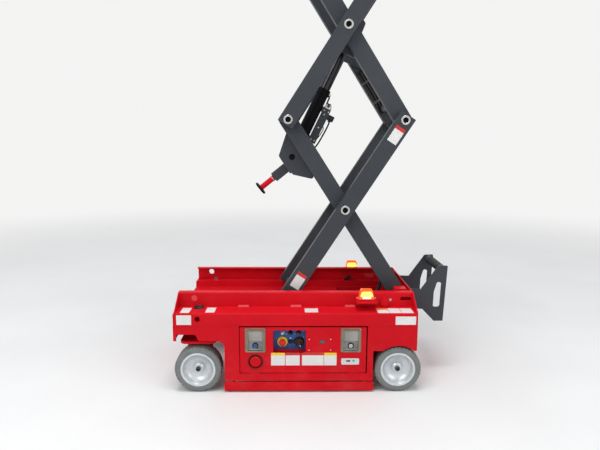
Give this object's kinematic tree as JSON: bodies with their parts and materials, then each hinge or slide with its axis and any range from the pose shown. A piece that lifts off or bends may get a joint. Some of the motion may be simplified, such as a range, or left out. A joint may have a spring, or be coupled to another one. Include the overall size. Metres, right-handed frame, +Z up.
{
  "type": "compact electric scissor lift",
  "caption": "Compact self-propelled scissor lift: chassis on solid tyres, crossed lifting arms with cylinder, railed work platform with roll-out deck.",
  "frame": {"origin": "floor level under the middle of the machine", "axes": "+Z up, -X towards the steered front, +X towards the ladder, -Y the left side"},
  "size_m": [1.3942, 0.76, 4.3317],
  "materials": {
    "red_paint": "gloss paint",
    "grey_paint": "satin paint",
    "black_plastic": "moulded",
    "black_paint": "gloss paint",
    "steel": "machined",
    "chrome_rod": "polished",
    "amber_lens": "clear moulded",
    "tyre": "non-marking rubber",
    "rim_silver": "silver paint"
  },
  "bodies": {
    "chassis": {"main_frame": "red_paint", "front_plate": "red_paint", "rear_plate": "red_paint", "kingpin_housings": "red_paint", "drive_motors": "steel", "stack_anchors": "red_paint", "batteries": "black_plastic", "hydraulic_unit": "black_plastic", "beacons": "amber_lens", "ladder": "grey_paint", "control_panel": "red_paint", "deck_left": "red_paint", "deck_right": "red_paint", "side_left": "red_paint", "side_right": "red_paint"},
    "inner_1": {"inner_1": "grey_paint", "lift_bracket": "grey_paint", "rest_post": "red_paint"},
    "outer_1": {"outer_1": "grey_paint", "rollers_bottom": "black_plastic"},
    "inner_2": {"inner_2": "grey_paint"},
    "outer_2": {"outer_2": "grey_paint"},
    "inner_3": {"inner_3": "grey_paint", "rollers_top": "black_plastic"},
    "outer_3": {"outer_3": "grey_paint"},
    "barrel": {"cylinder_barrel": "black_paint", "valve_block": "grey_paint"},
    "rod": {"cylinder_rod": "chrome_rod"},
    "platform": {"platform_deck": "grey_paint", "guardrail_left": "grey_paint", "guardrail_right": "grey_paint"},
    "gate": {"gate": "grey_paint"},
    "extension": {"extension_deck": "grey_paint", "extension_rail": "grey_paint", "control_box": "black_plastic"},
    "door_left": {"door_left": "red_paint", "latches_left": "steel"},
    "door_right": {"door_right": "red_paint", "latches_right": "steel"},
    "guard_left": {"guard_left": "red_paint"},
    "guard_right": {"guard_right": "red_paint"},
    "yoke_left": {"yoke_left": "red_paint"},
    "yoke_right": {"yoke_right": "red_paint"},
    "tie_rod": {"tie_rod": "steel"},
    "wheel_front_left": {"tyre_front_left": "tyre", "rim_front_left": "rim_silver"},
    "wheel_front_right": {"tyre_front_right": "tyre", "rim_front_right": "rim_silver"},
    "wheel_rear_left": {"tyre_rear_left": "tyre", "rim_rear_left": "rim_silver"},
    "wheel_rear_right": {"tyre_rear_right": "tyre", "rim_rear_right": "rim_silver"}
  },
  "joints": [
    {"name": "lift", "type": "hinge", "parent": "chassis", "child": "inner_1", "pos_m": [0.435, 0, 0.434], "axis": [0, 1, 0], "range_deg": [-51.1, 0]},
    {"name": "cross_1", "type": "hinge", "parent": "inner_1", "child": "outer_1", "pos_m": [0.14549, 0, 0.88152], "axis": [0, 1, 0], "range_deg": [0, 102.3]},
    {"name": "elbow_1", "type": "hinge", "parent": "inner_1", "child": "outer_2", "pos_m": [-0.14402, 0, 1.32903], "axis": [0, 1, 0], "range_deg": [0, 102.3]},
    {"name": "cross_2", "type": "hinge", "parent": "outer_2", "child": "inner_2", "pos_m": [0.14549, 0, 1.77655], "axis": [0, 1, 0], "range_deg": [-102.3, 0]},
    {"name": "elbow_2", "type": "hinge", "parent": "outer_2", "child": "inner_3", "pos_m": [0.435, 0, 2.22407], "axis": [0, 1, 0], "range_deg": [-102.3, 0]},
    {"name": "cross_3", "type": "hinge", "parent": "inner_3", "child": "outer_3", "pos_m": [0.14549, 0, 2.67159], "axis": [0, 1, 0], "range_deg": [0, 102.3]},
    {"name": "platform_level", "type": "hinge", "parent": "outer_3", "child": "platform", "pos_m": [0.435, 0, 3.1191], "axis": [0, 1, 0], "range_deg": [-51.2, 0]},
    {"name": "cylinder_swing", "type": "hinge", "parent": "inner_1", "child": "barrel", "pos_m": [-0.12463, 0, 1.14625], "axis": [0, 1, 0], "range_deg": [0, 86.01]},
    {"name": "cylinder_stroke", "type": "slide", "parent": "barrel", "child": "rod", "axis": [0.4353, 0, 0.9003], "range_m": [-0.2985, 0]},
    {"name": "wheel_front_left_spin", "type": "hinge", "parent": "yoke_left", "child": "wheel_front_left", "pos_m": [-0.5825, -0.335, 0.115], "axis": [0, 1, 0], "continuous": true},
    {"name": "wheel_front_right_spin", "type": "hinge", "parent": "yoke_right", "child": "wheel_front_right", "pos_m": [-0.5825, 0.335, 0.115], "axis": [0, 1, 0], "continuous": true},
    {"name": "wheel_rear_left_spin", "type": "hinge", "parent": "chassis", "child": "wheel_rear_left", "pos_m": [0.4005, -0.335, 0.115], "axis": [0, 1, 0], "continuous": true},
    {"name": "wheel_rear_right_spin", "type": "hinge", "parent": "chassis", "child": "wheel_rear_right", "pos_m": [0.4005, 0.335, 0.115], "axis": [0, 1, 0], "continuous": true},
    {"name": "steer_left", "type": "hinge", "parent": "chassis", "child": "yoke_left", "pos_m": [-0.5825, -0.277, 0.25], "axis": [0, 0, 1], "range_deg": [-50, 50]},
    {"name": "steer_right", "type": "hinge", "parent": "chassis", "child": "yoke_right", "pos_m": [-0.5825, 0.277, 0.25], "axis": [0, 0, 1], "range_deg": [-50.1, 50.1]},
    {"name": "tie_rod_follow", "type": "hinge", "parent": "yoke_left", "child": "tie_rod", "pos_m": [-0.5065, -0.277, 0.264], "axis": [0, 0, 1], "range_deg": [-50.1, 50.1]},
    {"name": "door_left_swing", "type": "hinge", "parent": "chassis", "child": "door_left", "pos_m": [0, -0.376, 0.1], "axis": [1, 0, 0], "range_deg": [0, 90]},
    {"name": "door_right_swing", "type": "hinge", "parent": "chassis", "child": "door_right", "pos_m": [0, 0.376, 0.1], "axis": [-1, 0, 0], "range_deg": [0, 90]},
    {"name": "guard_left_swing", "type": "hinge", "parent": "chassis", "child": "guard_left", "pos_m": [0, -0.366, 0.066], "axis": [1, 0, 0], "range_deg": [-0.1, 85.2]},
    {"name": "guard_right_swing", "type": "hinge", "parent": "chassis", "child": "guard_right", "pos_m": [0, 0.366, 0.066], "axis": [-1, 0, 0], "range_deg": [-0.1, 85.2]},
    {"name": "extension_slide", "type": "slide", "parent": "platform", "child": "extension", "axis": [-1, 0, 0], "range_m": [0, 0.6]},
    {"name": "gate_swing", "type": "hinge", "parent": "platform", "child": "gate", "pos_m": [0.603, 0.3, 3.1811], "axis": [0, 0, 1], "range_deg": [-90, 0]}
  ],
  "couplings": [
    {"joint": "cross_1", "follows": "lift", "ratio": -2},
    {"joint": "elbow_1", "follows": "lift", "ratio": -2},
    {"joint": "cross_2", "follows": "lift", "ratio": 2},
    {"joint": "elbow_2", "follows": "lift", "ratio": 2},
    {"joint": "cross_3", "follows": "lift", "ratio": -2},
    {"joint": "platform_level", "follows": "lift", "ratio": 1},
    {"joint": "cylinder_swing", "follows": "lift", "ratio": -1.6812},
    {"joint": "cylinder_stroke", "follows": "lift", "m_per_rad": 0.33411},
    {"joint": "steer_right", "follows": "steer_left", "ratio": 1},
    {"joint": "tie_rod_follow", "follows": "steer_left", "ratio": -1},
    {"joint": "guard_left_swing", "follows": "lift", "ratio": -1.6634},
    {"joint": "guard_right_swing", "follows": "lift", "ratio": -1.6634}
  ]
}
